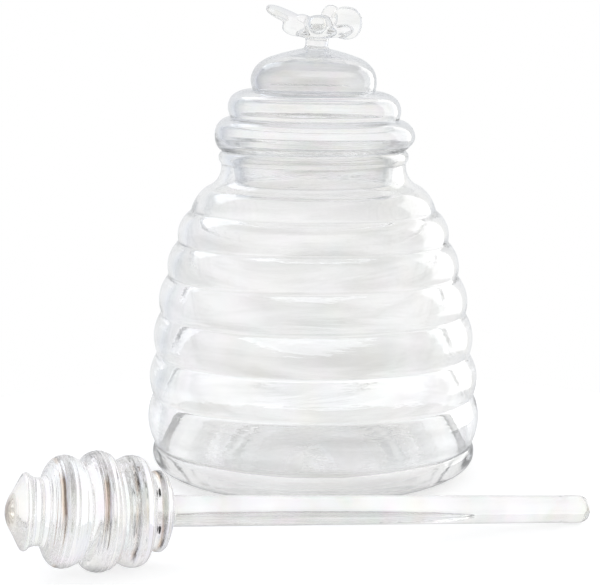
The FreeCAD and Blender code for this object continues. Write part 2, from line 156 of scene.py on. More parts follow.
def mesh_from(name, verts, quads, tris):
    """A mesh from whole arrays of corners (metres) and faces, turned to face outwards."""
    loops = np.concatenate([quads.reshape(-1), tris.reshape(-1)]).astype(np.int32)
    sizes = np.repeat(np.array([4, 3], np.int32), [len(quads), len(tris)])
    starts = np.concatenate([[0], np.cumsum(sizes)[:-1]]).astype(np.int32)
    mesh = bpy.data.meshes.new(name)
    mesh.vertices.add(len(verts))
    mesh.vertices.foreach_set("co", np.asarray(verts, np.float32).reshape(-1))
    mesh.loops.add(len(loops))
    mesh.loops.foreach_set("vertex_index", loops)
    mesh.polygons.add(len(sizes))
    mesh.polygons.foreach_set("loop_start", starts)
    mesh.polygons.foreach_set("loop_total", sizes)
    mesh.polygons.foreach_set("use_smooth", np.ones(len(sizes), bool))
    mesh.update(calc_edges=True)
    mesh.validate()
    if volume_of(mesh) < 0:
        mesh.flip_normals()
    return mesh


def volume_of(mesh):
    """Signed volume: a sixth of the sum of corner triple products over the triangles."""
    mesh.calc_loop_triangles()
    co = np.empty(len(mesh.vertices) * 3, np.float32)
    mesh.vertices.foreach_get("co", co)
    tri = np.empty(len(mesh.loop_triangles) * 3, np.int32)
    mesh.loop_triangles.foreach_get("vertices", tri)
    a, b, c = np.moveaxis(co.reshape(-1, 3).astype(float)[tri.reshape(-1, 3)], 1, 0)
    return np.einsum("ij,ij->i", a, np.cross(b, c)).sum() / 6


def closed_grid(rows, sides):
    """Faces of a grid of rows that each close on themselves, with one point before and one after it.

    The point before is corner 0, row k starts at 1 + k * sides, the point after is the last.
    """
    grid = 1 + np.arange(rows * sides).reshape(rows, sides)
    beside = np.roll(grid, -1, 1)
    last = rows * sides + 1
    quads = np.stack([grid[:-1], beside[:-1], beside[1:], grid[1:]], -1).reshape(-1, 4)
    caps = [np.stack([np.zeros(sides, int), beside[0], grid[0]], 1),
            np.stack([np.full(sides, last), grid[-1], beside[-1]], 1)]
    return quads, np.concatenate(caps)


def turned(line, sides, hand):
    """A line whose two ends lie on the axis, turned once round it: its corners and faces.

    A corner is (r cos t, r sin t, z) for profile point (r, z) and turn t. Then
    hand(corners, r, z, t) moves them as the maker's hand would.
    """
    inner = line[1:-1]
    turn = np.linspace(0, math.tau, sides, endpoint=False)
    r, t = np.meshgrid(inner[:, 0], turn, indexing="ij")
    z = np.repeat(inner[:, 1:], sides, 1)
    r = np.concatenate([line[:1, 0], r.reshape(-1), line[-1:, 0]])
    z = np.concatenate([line[:1, 1], z.reshape(-1), line[-1:, 1]])
    t = np.concatenate([[0.0], t.reshape(-1), [0.0]])
    corners = hand(np.stack([r * np.cos(t), r * np.sin(t), z], 1), r, z, t)
    return corners, *closed_grid(len(inner), sides)


def placed(name, data):
    """A new object of the scene that holds this mesh or camera."""
    piece = bpy.data.objects.new(name, data)
    bpy.context.scene.collection.objects.link(piece)
    return piece


def shown(name, mesh, material, node):
    """Puts a finished piece on the part's body, in the place of its plain one."""
    piece = placed(name, mesh)
    mesh.materials.clear()
    mesh.materials.append(material)
    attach(piece, "root")
    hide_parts(node)


def baked(obj):
    """The mesh an object has once its modifiers are worked out."""
    bpy.context.view_layer.update()
    graph = bpy.context.evaluated_depsgraph_get()
    return bpy.data.meshes.new_from_object(obj.evaluated_get(graph), depsgraph=graph)


# --------------------------------------------------------------------------
# Shader nodes
# --------------------------------------------------------------------------

FLOAT, COLOUR = "NodeSocketFloat", "NodeSocketColor"


def feed(tree, socket, value):
    """Links an output to this socket, or sets the socket to a number, vector or (red, green, blue)."""
    if isinstance(value, bpy.types.NodeSocket):
        tree.links.new(value, socket)
    elif socket.type == "RGBA":
        socket.default_value = (*value, 1)
    else:
        socket.default_value = value


def new_node(tree, kind, inputs=None, **settings):
    """A new shader node with its settings made and its inputs fed."""
    made = tree.nodes.new("ShaderNode" + kind)
    for name, value in settings.items():
        setattr(made, name, value)
    for name, value in (inputs or {}).items():
        feed(tree, made.inputs[name], value)
    return made


def maths(tree, operation, *values):
    """The outcome of one Math node of this operation."""
    return new_node(tree, "Math", dict(enumerate(values)), operation=operation).outputs[0]


def mixed(tree, share, a, b, how="MIX"):
    """Colour a turned into b, or multiplied by it, by a share."""
    mix = new_node(tree, "Mix", {"Factor": share, "A": a, "B": b}, data_type="RGBA", blend_type=how)
    return mix.outputs["Result"]


def faded(tree, value, start, end, curve="SMOOTHSTEP"):
    """0 where the value is at start, 1 where it is at end."""
    ends = {"Value": value, "From Min": start, "From Max": end}
    return new_node(tree, "MapRange", ends, interpolation_type=curve).outputs["Result"]


def noise(tree, at, scale, detail):
    """Soft noise about 0.5, scale being waves to a metre."""
    return new_node(tree, "TexNoise", {"Vector": at, "Scale": scale, "Detail": detail}).outputs["Fac"]


def drawn_out(tree, at, times):
    """The place with its height counted several times over, so that noise runs out flat round the turn."""
    return new_node(tree, "Mapping", {"Vector": at, "Scale": (1.0, 1.0, times)}).outputs["Vector"]


def on_piece(tree):
    """The place on the piece, and its height alone."""
    at = new_node(tree, "TexCoord").outputs["Object"]
    return at, new_node(tree, "SeparateXYZ", {0: at}).outputs["Z"]


def new_group(name, inputs, outputs):
    """A group of shader nodes with its named sockets: the group, what comes in and what goes out."""
    group = bpy.data.node_groups.new(name, "ShaderNodeTree")
    for socket, kind, value in inputs:
        group.interface.new_socket(socket, in_out="INPUT", socket_type=kind).default_value = value
    for socket, kind in outputs:
        group.interface.new_socket(socket, in_out="OUTPUT", socket_type=kind)
    return group, group.nodes.new("NodeGroupInput").outputs, group.nodes.new("NodeGroupOutput").inputs


# --------------------------------------------------------------------------
# Glass
# --------------------------------------------------------------------------


def worked_glass_group():
    """Hand-worked glass.

    Height mixes soft swells of the surface with drawn-out cords. Tint turns from clear to
    cloudy along the cords and drifts a little in hue. Roughness follows the swells.
    """
    g, given, out = new_group("worked_glass", (
        ("Swell size", FLOAT, 60.0), ("Cord size", FLOAT, 25.0), ("Cord share", FLOAT, 0.3),
        ("Clear", COLOUR, (1, 1, 1, 1)), ("Cloudy", COLOUR, (0.95, 0.95, 0.93, 1)),
        ("Pastel", FLOAT, 0.1), ("Pastel size", FLOAT, 80.0),
    ), (("Height", FLOAT), ("Tint", COLOUR), ("Roughness", FLOAT)))
    at = new_node(g, "TexCoord").outputs["Object"]
    swell = noise(g, at, given["Swell size"], 1.0)
    cord = new_node(g, "TexNoise", {"Vector": drawn_out(g, at, 7.0), "Scale": given["Cord size"],
                                    "Detail": 4.0, "Distortion": 0.6}).outputs["Fac"]
    height = new_node(g, "Mix", {"Factor": given["Cord share"], "A": swell, "B": cord}, data_type="FLOAT")
    feed(g, out["Height"], height.outputs["Result"])

    tint = mixed(g, faded(g, cord, 0.4, 0.66), given["Clear"], given["Cloudy"])
    drift = new_node(g, "TexNoise", {"Vector": at, "Scale": given["Pastel size"], "Detail": 1.0})
    bright = new_node(g, "VectorMath", {0: drift.outputs["Color"], "Scale": 1.9}, operation="SCALE")
    capped = new_node(g, "VectorMath", {0: bright.outputs[0], 1: (1, 1, 1)}, operation="MINIMUM")
    feed(g, out["Tint"], mixed(g, given["Pastel"], tint, capped.outputs[0], "MULTIPLY"))

    haze = new_node(g, "MapRange", {"Value": swell, "From Min": 0.45, "From Max": 0.8, "To Max": 0.03})
    feed(g, out["Roughness"], haze.outputs["Result"])
    return g


WORKED = worked_glass_group()
GLASS_IOR = 1.5


def glass(name, clear, cloudy, depth, body, body_density, painted_edge_shade, painted_edge_shade_start, pastel, pastel_size=80.0,
          swell=60.0, cords=25.0, cord_share=0.3):
    """Clear glass: relief, tint and haze come from the shared group, depth of colour from the body.

    Towards its outline, past a given facing, the base colour turns to a given darker colour: painted shade
    at the edges, growing as the surface turns away from the view.
    """
    m = bpy.data.materials.new(name)
    m.use_nodes = True
    t = m.node_tree
    surface = t.nodes["Principled BSDF"].inputs
    surface["Transmission Weight"].default_value = 1.0
    surface["IOR"].default_value = GLASS_IOR
    surface["Specular IOR Level"].default_value = 0.8
    worked = new_node(t, "Group", node_tree=WORKED)
    for socket, value in (("Swell size", swell), ("Cord size", cords), ("Cord share", cord_share),
                          ("Clear", clear), ("Cloudy", cloudy), ("Pastel", pastel),
                          ("Pastel size", pastel_size)):
        feed(t, worked.inputs[socket], value)
    bump = new_node(t, "Bump", {"Strength": 1.0, "Distance": depth, "Height": worked.outputs["Height"]})
    feed(t, surface["Normal"], bump.outputs["Normal"])
    # Painted shade: the base colour darkens towards the outline as the surface turns away from the view.
    facing = new_node(t, "LayerWeight", {"Blend": 0.5}).outputs["Facing"]
    feed(t, surface["Base Color"], mixed(t, faded(t, facing, painted_edge_shade_start, 0.95), worked.outputs["Tint"], painted_edge_shade))
    feed(t, surface["Roughness"], worked.outputs["Roughness"])
    absorb = new_node(t, "VolumeAbsorption", {"Color": body, "Density": body_density})
    feed(t, t.nodes["Material Output"].inputs["Volume"], absorb.outputs["Volume"])
    return m


def fed_by(material, socket):
    """A material's node tree, a socket of its surface, and what feeds that socket now."""
    t = material.node_tree
    into = t.nodes["Principled BSDF"].inputs[socket]
    return t, into, into.links[0].from_socket


def worn_foot(material, height, roughness):
    """Fine scratches where the jar slides on the table.

    They fade in from a height down to the foot, in patches, and roughen the glass.
    """
    t, into, polish = fed_by(material, "Roughness")
    at, up = on_piece(t)
    patch = maths(t, "MULTIPLY", faded(t, up, height, 0.0), noise(t, at, 240.0, 5.0))
    feed(t, into, maths(t, "MULTIPLY_ADD", patch, roughness * 2, polish))


def painted_reflection_band(material, heights, colour):
    """Painted reflection: greyer glass between two heights, in place of a dark part of the room reflected
    there. It fades in over the first pair of heights, out over the second.

    A noise drawn out round the turn breaks this painted reflection into smears of uneven strength.
    """
    t, into, tint = fed_by(material, "Base Color")
    at, up = on_piece(t)
    start, full, waning, end = heights
    band = maths(t, "MULTIPLY", faded(t, up, start, full), faded(t, up, end, waning))
    smear = faded(t, noise(t, drawn_out(t, at, 4.0), 45.0, 2.0), 0.3, 0.55)
    feed(t, into, mixed(t, maths(t, "MULTIPLY", band, smear), tint, colour, "MULTIPLY"))


# How far from the nose the dipper's head and its paint reach, in millimetres.
HEAD_END = 45.0
# Each streak, a painted reflection: its place in millimetres from the nose, and its darkest colour.
STREAKS = [
    (12.6, (0.10, 0.06, 0.04)),
    (23.2, (0.22, 0.15, 0.1)),
    (31.4, (0.04, 0.025, 0.02)),
    (39.2, (0.05, 0.04, 0.04)),
]
# Across a streak: millimetres from its middle, and the colour there, None being its darkest.
ACROSS = [(-1.0, (1, 1, 1)), (-0.55, (0.85, 0.62, 0.45)), (-0.1, None),
          (0.25, None), (0.7, (0.8, 0.83, 0.92)), (1.5, (1, 1, 1))]
NOSE = [(0.0, (0.3, 0.23, 0.18)), (0.8, (0.75, 0.66, 0.56)), (1.8, (1, 0.96, 0.9)), (5.6, (1, 1, 1))]
NOSE_END = 6.0
ROD_GREY = (0.9, 0.9, 0.895)


def painted_reflection_streaks(material):
    """Painted reflections: dark brown streaks along the crown of each ring. Also a cream nose and a slightly
    grey rod.

    A ramp holds the colours by their place along the head. A noise bends the streaks, and a
    slower one breaks them up round the turn.
    """
    t, into, tint = fed_by(material, "Base Color")
    along_head = new_node(t, "Attribute", attribute_name="place").outputs["Fac"]
    at = new_node(t, "TexCoord").outputs["Object"]
    bend = 0.03
    moved = maths(t, "MULTIPLY_ADD", noise(t, at, 110.0, 3.0), bend, along_head)
    # The noise is about 0.5, so on the whole it moves a place by about this many millimetres.
    mean_move = 0.68
    stops = NOSE + [(middle + off, colour or darkest)
                    for middle, darkest in STREAKS for off, colour in ACROSS]
    stops.append((HEAD_END - mean_move, ROD_GREY))
    ramp = new_node(t, "ValToRGB", {"Fac": moved})
    elements = ramp.color_ramp.elements
    elements.remove(elements[1])
    for k, (place, colour) in enumerate(stops):
        position = (place + mean_move) / HEAD_END
        stop = elements.new(position) if k else elements[0]
        stop.position = position
        stop.color = (*colour, 1)
    share = faded(t, noise(t, at, 55.0, 2.0), 0.46, 0.56, "LINEAR")
    nose = maths(t, "LESS_THAN", along_head, NOSE_END / HEAD_END)
    whole = maths(t, "MAXIMUM", nose, share)
    feed(t, into, mixed(t, whole, tint, ramp.outputs["Color"], "MULTIPLY"))


JAR_GLASS = glass("jar_glass", clear=(0.97, 0.97, 0.97), cloudy=(0.865, 0.865, 0.86), depth=0.00018,
                  body=(0.68, 0.68, 0.675), body_density=3.0, painted_edge_shade=(0.7, 0.72, 0.745), painted_edge_shade_start=0.6,
                  pastel=0.03, cord_share=0.4)
worn_foot(JAR_GLASS, height=0.0015, roughness=0.05)
LID_GLASS = glass("lid_glass", clear=(0.982, 0.982, 0.984), cloudy=(0.925, 0.925, 0.915), depth=0.0001,
                  body=(0.6, 0.61, 0.6), body_density=5.0, painted_edge_shade=(0.45, 0.48, 0.53), painted_edge_shade_start=0.32,
                  pastel=0.05, pastel_size=160.0, swell=90.0)
# Painted reflection: a grey band across the lower dome of the lid, in place of the dark front of the room
# reflected there.
painted_reflection_band(LID_GLASS, heights=(0.1195, 0.121, 0.1265, 0.1315), colour=(0.87, 0.87, 0.87))
DIPPER_GLASS = glass("dipper_glass", clear=(0.99, 0.99, 0.99), cloudy=(0.97, 0.965, 0.955), depth=0.0001,
                     body=(0.9, 0.9, 0.9), body_density=8.0, painted_edge_shade=(0.66, 0.65, 0.66), painted_edge_shade_start=0.45,
                     pastel=0.14, pastel_size=140.0, swell=120.0, cords=60.0)
# Painted reflections: dark brown streaks on the crowns of the dipper's rings.
painted_reflection_streaks(DIPPER_GLASS)

# --------------------------------------------------------------------------
# The jar
# --------------------------------------------------------------------------

# Crest radius and height of each rib, then radius and height of the groove above it.
RIBS = [
    (50.7, 6.8, 49.85, 10.3),
    (52.0, 19.2, 50.30, 25.5),
    (51.4, 31.0, 49.00, 38.3),
    (50.0, 43.4, 47.65, 51.1),
    (48.25, 55.6, 45.10, 62.9),
    (45.45, 66.7, 42.00, 73.4),
    (42.20, 76.4, 38.10, 83.0),
]
WALL_RIB, WALL_GROOVE = 2.85, 2.2
INSIDE_SET_DOWN = 0.2
PUNT_RISE = 1.2
NECK_RADIUS, NECK_BORE = 28.7, 26.2
LIP_Z = 101.5


def jar_profile():
    """Half section of the jar: foot, ribs, shoulder, lip, then back down the inside to the floor."""
    lowest, highest = RIBS[0], RIBS[-1]
    foot = [((0, PUNT_RISE), None), ((20.5, PUNT_RISE), (27.4, 0.86)), ((33.0, 0), None),
            ((39.5, 0), (46.6, 1.80)), ((49.3, 3.6), lowest[:2])]
    ribs = [(low[2:], high[:2]) for low, high in zip(RIBS, RIBS[1:])]
    shoulder = [(highest[2:], (37.0, 86.2)), ((33.4, 90.3), (30.3, 92.4)), ((NECK_RADIUS, 96.0), None)]
    lip = [((NECK_RADIUS, 97.8), (29.55, 99.65)), ((NECK_RADIUS, LIP_Z), None),
           ((26.9, LIP_Z), (26.4, 101.25)), ((NECK_BORE, 100.6), None)]
    bore = [((NECK_BORE, 95.6), (28.3, 90.8)), ((31.9, 88.1), (34.6, 85.0))]
    inside = [((rib[2] - WALL_GROOVE, rib[3] - INSIDE_SET_DOWN),
               (rib[0] - WALL_RIB, rib[1] - INSIDE_SET_DOWN)) for rib in RIBS[:0:-1]]
    floor_line = [((lowest[2] - WALL_GROOVE, lowest[3] - INSIDE_SET_DOWN), (46.0, 6.9)),
                  ((41.2, 4.75), (34.5, 4.1)), ((26.0, 4.15), (13.0, 4.75)), ((0, 4.95), None)]
    return chain(foot + ribs + shoulder + lip + bore + inside + floor_line)


def jar_hand(xyz, r, z, t):
    """Slow waves the maker leaves.

    Radius times 1 + a sin(2t) + b sin(3t + z) + c sin(5t - z); ribs rise and fall by a few
    tenths; the floor ripples by a sine of its radius, bent round the turn.
    """
    out = xyz.copy()
    on_floor = (np.clip((40 - r) / 8, 0, 1) * np.clip(r / 4, 0, 1)
                * np.clip((7 - z) / 2, 0, 1) * np.clip(z / 0.9, 0, 1))
    rings = np.sin(r / 2.1 + 0.8 * np.sin(2 * t + 0.5))
    dents = 0.6 * np.sin(out[:, 0] / 7 + 1) * np.sin(out[:, 1] / 6)
    out[:, 2] += on_floor * 0.16 * (rings - dents)
    wide = (1 + 0.0016 * np.sin(2 * t + 0.7) + 0.0011 * np.sin(3 * t + z / 17 + 1.9)
            + 0.0007 * np.sin(5 * t - z / 9))
    out[:, :2] *= (1 + (wide - 1) * np.clip(z / 6, 0, 1))[:, None]
    lift = 0.22 * np.sin(t - 2.2 + z / 60) + 0.12 * np.sin(3 * t + z / 12)
    out[:, 2] += lift * (np.clip((z - 2) / 12, 0, 1) * np.clip((LIP_Z - z) / 10, 0, 1))
    return out


def make_jar():
    """The blown jar, open at the neck."""
    soft_corner, rows, sides = 0.42, 470, 200
    line = thin_out(melt(jar_profile(), soft_corner), rows)
    xyz, quads, caps = turned(line, sides, jar_hand)
    mesh = mesh_from("honey_jar", xyz * MM, quads, caps)
    shown("honey_jar", mesh, JAR_GLASS, "jar")


# --------------------------------------------------------------------------
# The lid and its bee
# --------------------------------------------------------------------------

SEAT = LIP_Z + 0.06
SKIRT_DEPTH = 11.2
LID_WALL = 1.8
STEM_RADIUS = 3.5
LEAN = math.tan(math.radians(1.2))
BEE_SHIFT = 1.0


def lid_profile():
    """Half section of the lid: down its inside from the crown, round the skirt, up to the stem.

    The inside is the outside moved in by the wall, so the glass is as thick in a bend as
    between bends. It carries fine ridges that fade out at the skirt's end and the crown.
    """
    skirt = [((24.3, -SKIRT_DEPTH), None), ((25.3, 0), None)]
    rings = [((28.4, 0), (31.0, 4.9)), ((26.1, 10.0), (26.7, 13.6)), ((25.4, 16.6), (22.8, 18.15)),
             ((18.95, 18.8), (19.45, 21.6)), ((18.3, 25.4), (15.95, 27.6)), ((12.95, 29.0), (8.2, 30.4))]
    below = [((0, -11.6), None), ((22.0, -11.6), None)]
    closed = melt(chain(below + skirt + rings + [((4.2, 31.3), None), ((0, 31.5), None)]), 0.5)
    inside = inside_of(closed, LID_WALL)
    inside = inside[inside[:, 1] > -9.3][::-1]
    ridge_depth, ridge_pitch = 0.05, 1.45
    inside = ridged(inside, ridge_depth, ridge_pitch,
                    lambda r, z: np.clip((z + 8) / 2, 0, 1) * np.clip((r - 5) / 3, 0, 1))
    stem = [((4.2, 31.3), (3.65, 31.7)), ((STEM_RADIUS, 32.4), None), ((STEM_RADIUS, 36.0), None),
            ((0, 36.6), None)]
    outside = chain([((22.5, -SKIRT_DEPTH), (23.3, -11.7))] + skirt + rings + stem)
    return np.concatenate([[[0, inside[0, 1]]], inside, outside])


# Heights on the lid, and how far to the right of the axis its glass stands at each.
OFF_AXIS = ((1.0, 4.9, 13.6, 21.6, 27.0, 33.0), (0, 0.45, 0.3, 0.05, 0.3, BEE_SHIFT))


def lid_hand(xyz, r, z, t):
    """The rings slope a little to the right: z falls with x by tan(1.2 degrees), once clear of the seat.

    Each ring also sits a few tenths off the axis and a little out of round.
    """
    rise = np.clip((z - 0.5) / 4.0, 0, 1)
    rise = rise * rise * (3 - 2 * rise)
    out = xyz.copy()
    out[:, 2] -= LEAN * out[:, 0] * rise
    wave = 1 + (0.002 * np.sin(2 * t + 1.1) + 0.0016 * np.sin(3 * t + z / 4)) * np.clip(z / 4, 0, 1)
    out[:, :2] *= wave[:, None]
    out[:, 0] += np.interp(z, *OFF_AXIS)
    out[:, 2] += 0.12 * np.sin(2 * t + z / 5 + 0.4) * rise
    return out


def turn_of(lean, tip):
    """The turn about +X by tip, then about +Y by lean, both in degrees."""
    cx, sx = math.cos(math.radians(tip)), math.sin(math.radians(tip))
    cy, sy = math.cos(math.radians(lean)), math.sin(math.radians(lean))
    about_x = np.array([[1, 0, 0], [0, cx, -sx], [0, sx, cx]])
    about_y = np.array([[cy, 0, sy], [0, 1, 0], [-sy, 0, cy]])
    return about_y @ about_x


DROP_ROWS, DROP_SIDES = 48, 72


def drop(centre, halves, lean, tip, blunt):
    """Corners of a flattened drop of glass.

    x = a C(v) C(u), y = b C(v) S(u), z = c S(v), where C and S are the cosine and sine with
    their size raised to the power blunt, then turned by tip and lean and moved to its centre.
    """
    def softened(w):
        return np.sign(w) * np.abs(w) ** blunt

    v = np.linspace(-math.pi / 2, math.pi / 2, DROP_ROWS + 2)[1:-1]
    u = np.linspace(0, math.tau, DROP_SIDES, endpoint=False)
    vv, uu = np.meshgrid(v, u, indexing="ij")
    ring = softened(np.cos(vv))
    skin = np.stack([ring * softened(np.cos(uu)), ring * softened(np.sin(uu)), softened(np.sin(vv))], -1)
    skin = np.concatenate([[[0, 0, -1]], skin.reshape(-1, 3), [[0, 0, 1]]]) * halves
    return skin @ turn_of(lean, tip).T + centre


# Middle, half sizes, lean, tip and bluntness of each drop; heights are above the top of the stem.
STEM_TOP = SEAT + 34.7
BEE = [
    ((0.4, 1.6, 3.2), (4.3, 8.2, 3.5), 0, -8, 0.9),
    ((0.2, -6.0, 4.0), (2.9, 2.8, 2.7), 0, 0, 1.0),
    ((-0.4, -2.2, 1.7), (6.4, 3.2, 1.9), 0, 10, 0.85),
    ((-9.2, 0.6, 6.5), (7.0, 3.4, 1.35), 24, 24, 0.78),
    ((9.0, -0.6, 4.4), (5.0, 1.7, 5.1), 8, 10, 0.9),
    ((4.2, 2.6, 6.6), (2.9, 1.7, 3.4), 20, -8, 0.85),
    ((-6.4, -0.8, 2.9), (4.3, 2.8, 2.3), 12, 20, 0.8),
    ((6.6, 0.8, 1.9), (4.6, 2.7, 1.6), -10, 20, 0.9),
    ((-3.6, 0.4, 5.0), (3.0, 2.6, 1.9), 25, 10, 0.9),
    ((0.2, 0, -0.6), (3.45, 3.45, 3.6), 0, 0, 1.0),
]
BEE_VOXEL = 0.00032


def bee_mesh():
    """All drops as one skin: joined in a fine voxel grid and relaxed, as melted glass draws together."""
    verts = np.concatenate([drop(*sizes) for sizes in BEE])
    quads, tris = closed_grid(DROP_ROWS, DROP_SIDES)
    first = np.arange(len(BEE))[:, None, None] * (DROP_ROWS * DROP_SIDES + 2)
    quads, tris = (quads + first).reshape(-1, 4), (tris + first).reshape(-1, 3)
    drops = placed("bee_drops", mesh_from("bee_drops", (verts + [BEE_SHIFT, 0, STEM_TOP]) * MM, quads, tris))
    skin = drops.modifiers.new("skin", "REMESH")
    skin.mode = "VOXEL"
    skin.voxel_size = BEE_VOXEL
    relax = drops.modifiers.new("relax", "SMOOTH")
    relax.factor = 0.6
    relax.iterations = 6
    mesh = baked(drops)
    bpy.data.objects.remove(drops)
    return mesh


def make_lid():
    """The blown shell with the bee welded onto its stem."""
    soft_corner, rows, sides = 0.22, 440, 168
    line = thin_out(melt(lid_profile(), soft_corner), rows)
    xyz, quads, caps = turned(line, sides, lid_hand)
    shell = placed("lid_shell", mesh_from("lid_shell", (xyz + [0, 0, SEAT]) * MM, quads, caps))
    bee = placed("bee", bee_mesh())
    weld = shell.modifiers.new("weld", "BOOLEAN")
    weld.operation = "UNION"
    weld.solver = "EXACT"
    weld.object = bee
    mesh = baked(shell)
    mesh.name = "jar_lid"
    mesh.polygons.foreach_set("use_smooth", np.ones(len(mesh.polygons), bool))
    bpy.data.objects.remove(shell)
    bpy.data.objects.remove(bee)
    shown("jar_lid", mesh, LID_GLASS, "lid")


# --------------------------------------------------------------------------
# The dipper
# --------------------------------------------------------------------------

DIPPER_LENGTH = 166.6
HEADING = math.radians(20.0)
RING_TWO = (15.8, 24.0)
RING_CROWN, RING_HALF = 0.9, 2.95
COLLAR = (4.0, DIPPER_LENGTH - 5.0)
COLLAR_CROWN, COLLAR_HALF = 0.15, 2.5
ROD_START, ROD_END = 4.15, 3.85
ROD_GAP = 28.25
ROD_DISTANCE = RIBS[1][0] + ROD_GAP + ROD_START
RING_TWO_ALONG = -89.85


def crown_of(half, rise):
    """Radius of the arc over a chord: (half^2 + rise^2) / (2 rise)."""
    return (half ** 2 + rise ** 2) / (2 * rise)


# It lies on ring two and on the collar: one level line touches both of their round crowns.
ring_round, collar_round = crown_of(RING_HALF, RING_CROWN), crown_of(COLLAR_HALF, COLLAR_CROWN)
span = COLLAR[1] - RING_TWO[1]
fall = RING_TWO[0] - ring_round - COLLAR[0] + collar_round
SLOPE = math.atan(fall / span) + math.asin((ring_round - collar_round) / math.hypot(span, fall))
NOSE_Z = COLLAR[1] * math.sin(SLOPE) + (COLLAR[0] - collar_round) * math.cos(SLOPE) + collar_round


def ring_of(radius, place):
    """Front foot, top and back foot of a ring's crown."""
    low = radius - RING_CROWN
    return (low, place - RING_HALF), (radius, place), (low, place + RING_HALF)


def dipper_profile():
    """Half section of the dipper, radius and place along the rod from the nose."""
    one, two, three = ring_of(14.6, 14.9), ring_of(*RING_TWO), ring_of(14.65, 32.7)
    end = DIPPER_LENGTH
    nose = [((0, 0), None), ((1.0, 0), (3.33, 0.6)), ((5.25, 1.65), None), ((9.8, 4.1), (10.1, 4.75))]
    rings = [((9.6, 5.5), (8.8, 8.6)),
             ((9.3, 9.8), (12.0, 10.6)), (one[0], one[1]), (one[2], (13.25, 18.85)),
             ((12.1, 19.6), (13.95, 20.15)), (two[0], two[1]), (two[2], (13.95, 27.8)),
             ((12.1, 28.4), (13.25, 28.85)), (three[0], three[1]), (three[2], (11.8, 36.85)),
             ((8.7, 37.6), (10.75, 40.0)), ((9.25, 41.9), (6.85, 42.9))]
    rod = [((ROD_START, 43.6), None), ((ROD_END, end - 7.5), COLLAR),
           ((ROD_END, end - 2.5), (3.1, end - 0.75)), ((1.5, end), None), ((0, end), None)]
    return chain(nose + rings + rod)


def dipper_hand(xyz, r, p, t):
    """Rings a little out of true: each slides a few tenths with the turn, and shrinks up to 0.6 percent."""
    head = 1 / (1 + np.exp((p - 46) / 1.5))
    out = xyz.copy()
    out[:, 2] += head * (0.25 * np.sin(t + p / 7) + 0.15 * np.sin(2 * t + p / 5)) * np.clip(r / 10, 0, 1)
    out[:, :2] *= (1 + head * 0.003 * (np.sin(2 * t + p / 6) - 1))[:, None]
    return out


def laid_down(xyz):
    """Local +Z becomes the rod's direction: down by the slope, turned by the heading, head to the left."""
    ch, sh, cs, ss = math.cos(HEADING), math.sin(HEADING), math.cos(SLOPE), math.sin(SLOPE)
    rod = np.array([ch * cs, sh * cs, -ss])
    side = np.array([-sh, ch, 0.0])
    up = np.cross(rod, side)
    nose_along = RING_TWO_ALONG - RING_TWO[1] * cs
    nose = np.array([ROD_DISTANCE * sh + nose_along * ch, nose_along * sh - ROD_DISTANCE * ch, NOSE_Z])
    return nose + xyz[:, :1] * up + xyz[:, 1:2] * side + xyz[:, 2:] * rod


def make_dipper():
    """The solid glass dipper, with fine ridges on its head; place says how far along the head a point is."""
    soft_corner, rows, sides = 0.3, 760, 112
    ridge_depth, ridge_pitch = 0.09, 1.3
    line = ridged(melt(dipper_profile(), soft_corner), ridge_depth, ridge_pitch,
                  lambda r, p: np.clip((HEAD_END - p) / 3, 0, 1) * np.clip((r - 5.5) / 2, 0, 1))
    xyz, quads, caps = turned(thin_out(line, rows, 0.5), sides, dipper_hand)
    mesh = mesh_from("honey_dipper", laid_down(xyz) * MM, quads, caps)
    place = mesh.attributes.new("place", "FLOAT", "POINT")
    place.data.foreach_set("value", (xyz[:, 2] / HEAD_END).astype(np.float32))
    shown("honey_dipper", mesh, DIPPER_GLASS, "dipper")


# --------------------------------------------------------------------------
# Floor, room light and camera
# --------------------------------------------------------------------------

TABLE_RADIUS = 0.165
TABLE_Z = -0.0003
TABLE_COLOUR = (0.62, 0.62, 0.62)
# How brightly the table shows to the camera, through the glass and in a reflection.
TABLE_GLOW = (("Is Camera Ray", 0.6), ("Is Transmission Ray", 0.64), ("Is Reflection Ray", 0.2))


def table_top():
    """Round white table top: r from 0 to its radius on rings, a hair under the foot."""
    rings, sides = 12, 96
    radii = TABLE_RADIUS * np.arange(1, rings + 1) / rings
    r, t = np.meshgrid(radii, math.tau * np.arange(sides) / sides, indexing="ij")
    verts = np.stack([r * np.cos(t), r * np.sin(t), np.full(r.shape, TABLE_Z)], -1).reshape(-1, 3)
    verts = np.concatenate([[[0, 0, TABLE_Z]], verts])
    grid = 1 + np.arange(rings * sides).reshape(rings, sides)
    beside = np.roll(grid, -1, 1)
    quads = np.stack([grid[:-1], grid[1:], beside[1:], beside[:-1]], -1).reshape(-1, 4)
    middle = np.stack([np.zeros(sides, int), grid[0], beside[0]], 1)
    return mesh_from("floor", verts, quads, middle)


def white_table():
    """Matt white: it takes the piece's shadow, and glows a little so that it meets the white behind it."""
    m = bpy.data.materials.new("white_table")
    m.use_nodes = True
    t = m.node_tree
    surface = t.nodes["Principled BSDF"].inputs
    feed(t, surface["Base Color"], TABLE_COLOUR)
    feed(t, surface["Roughness"], 0.9)
    feed(t, surface["Specular IOR Level"], 0.0)
    feed(t, surface["Emission Color"], (1, 1, 1))
    path = new_node(t, "LightPath").outputs
    glow = 0.0
    for ray, strength in TABLE_GLOW:
        glow = maths(t, "MULTIPLY_ADD", path[ray], strength, glow)
    feed(t, surface["Emission Strength"], glow)
    return m


